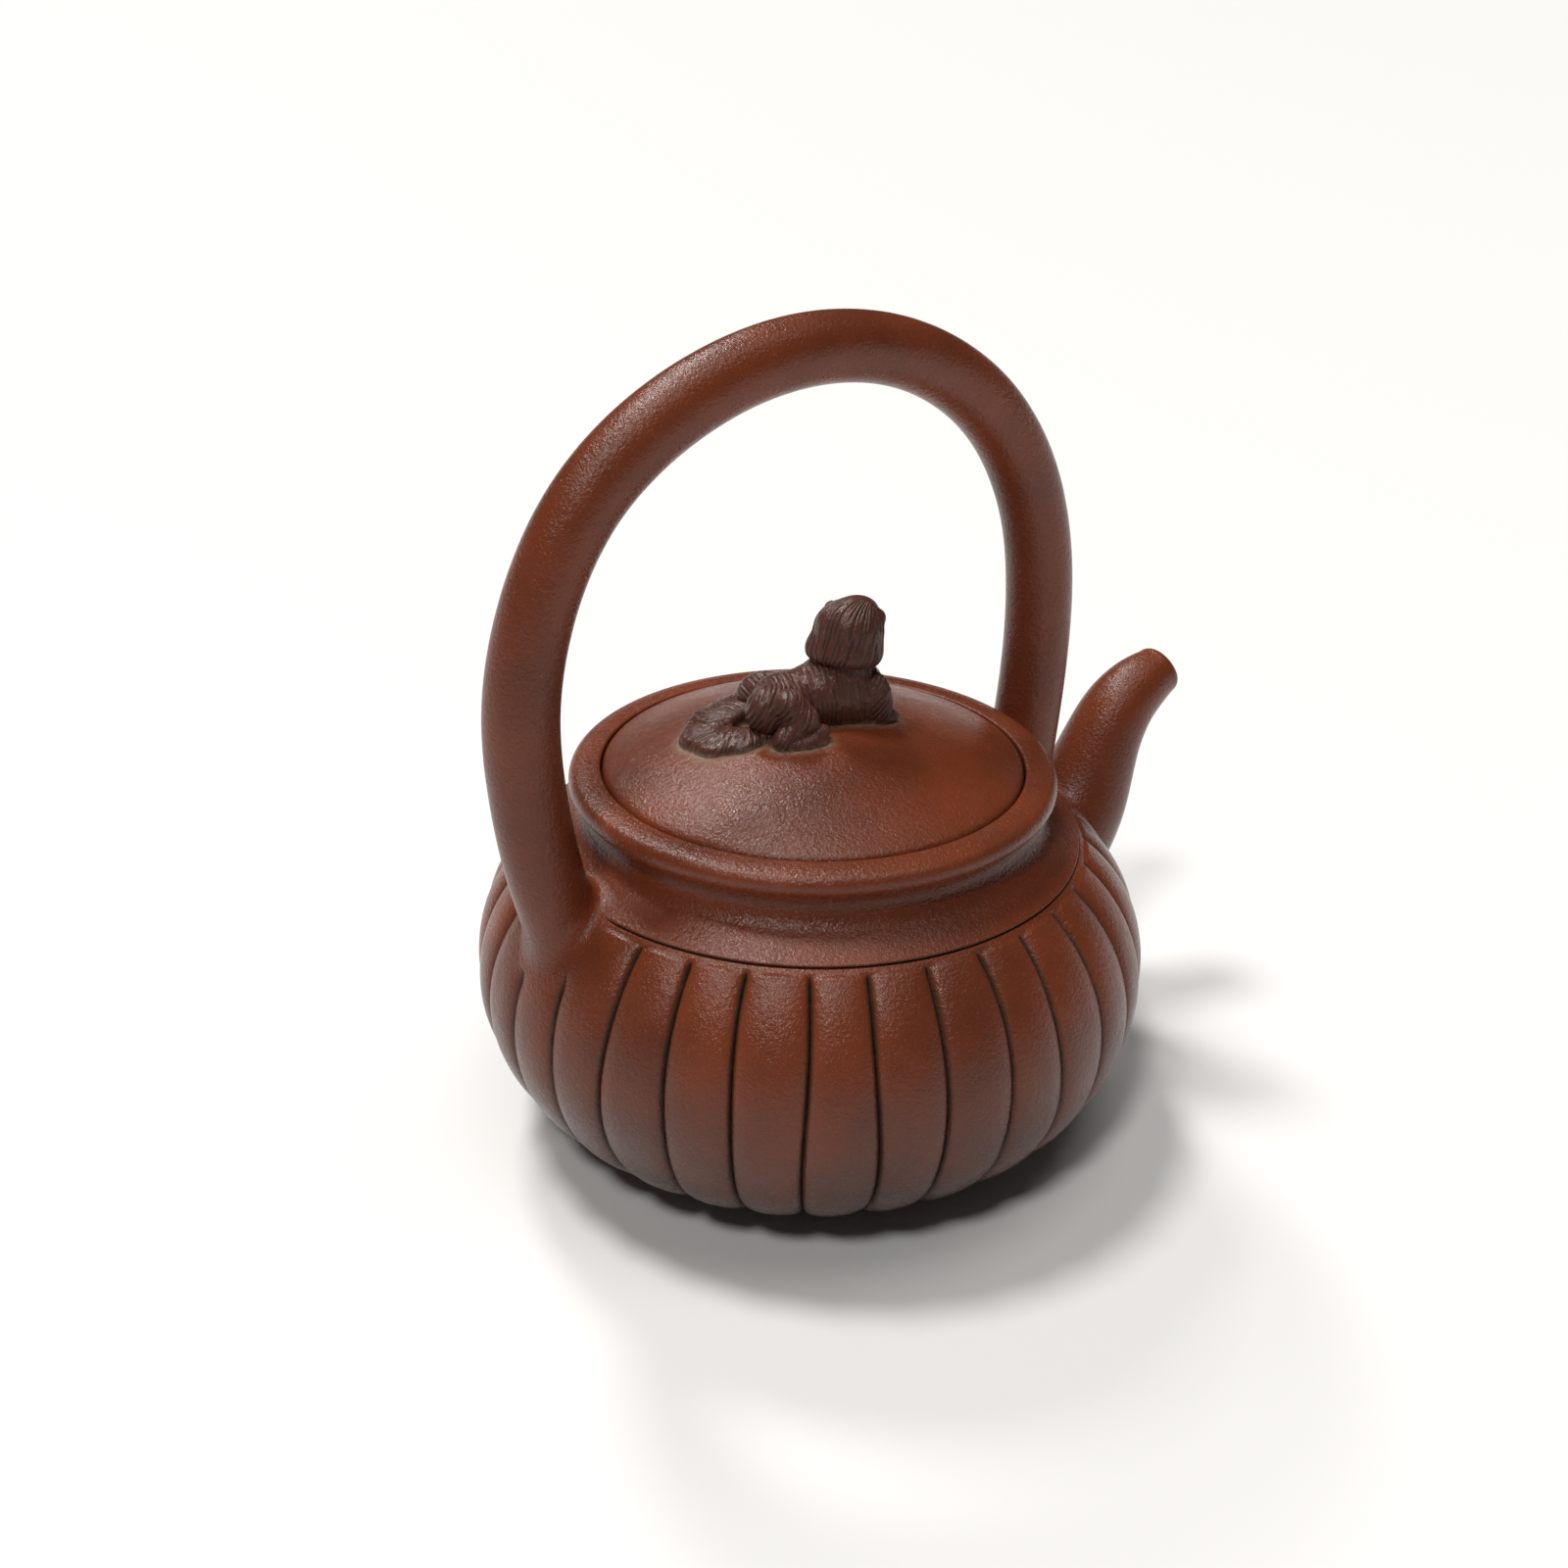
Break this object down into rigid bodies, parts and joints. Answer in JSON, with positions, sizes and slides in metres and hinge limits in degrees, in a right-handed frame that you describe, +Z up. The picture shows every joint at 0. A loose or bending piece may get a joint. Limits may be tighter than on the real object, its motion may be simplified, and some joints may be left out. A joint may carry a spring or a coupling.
{
  "type": "yixing clay teapot",
  "caption": "Unglazed ribbed clay teapot with overhead roll handle, short curved spout and an inset domed lid with a lion knob",
  "frame": {"origin": "middle of the foot ring's resting face, on the pot's axis", "axes": "+Z up along the pot's axis, +X towards the spout in the handle's plane, +Y to the left of the spout"},
  "size_m": [0.1742, 0.14, 0.1687],
  "materials": {
    "pot_clay": "unglazed, fine grained, softly burnished",
    "knob_clay": "unglazed, incised, matt"
  },
  "bodies": {
    "pot": {"base_disc": "pot_clay", "foot_ring": "pot_clay", "body_wall": "pot_clay", "spout_strainer": "pot_clay", "shoulder": "pot_clay", "neck": "pot_clay", "mouth_rim": "pot_clay", "lid_seat": "pot_clay", "spout": "pot_clay", "spout_root": "pot_clay", "handle": "pot_clay", "handle_foot_rear": "pot_clay", "handle_foot_front": "pot_clay"},
    "lid_ring": {"lid_flange": "pot_clay"},
    "lid": {"lid_dome": "pot_clay", "lion_torso": "knob_clay", "lion_neck": "knob_clay", "lion_head": "knob_clay", "lion_mane": "knob_clay", "lion_muzzle": "knob_clay", "lion_forelock": "knob_clay", "lion_ear_near": "knob_clay", "lion_ear_far": "knob_clay", "lion_foreleg_near": "knob_clay", "lion_foreleg_far": "knob_clay", "lion_haunch_near": "knob_clay", "lion_haunch_far": "knob_clay", "lion_hind_paw_near": "knob_clay", "lion_hind_paw_far": "knob_clay", "lion_tail": "knob_clay"}
  },
  "joints": [
    {"name": "lid_lift", "type": "slide", "parent": "pot", "child": "lid_ring", "axis": [0, 0, 1], "range_m": [0, 0.038]},
    {"name": "lid_turn", "type": "hinge", "parent": "lid_ring", "child": "lid", "pos_m": [0, 0, 0.0757], "axis": [0, 0, 1], "continuous": true}
  ]
}
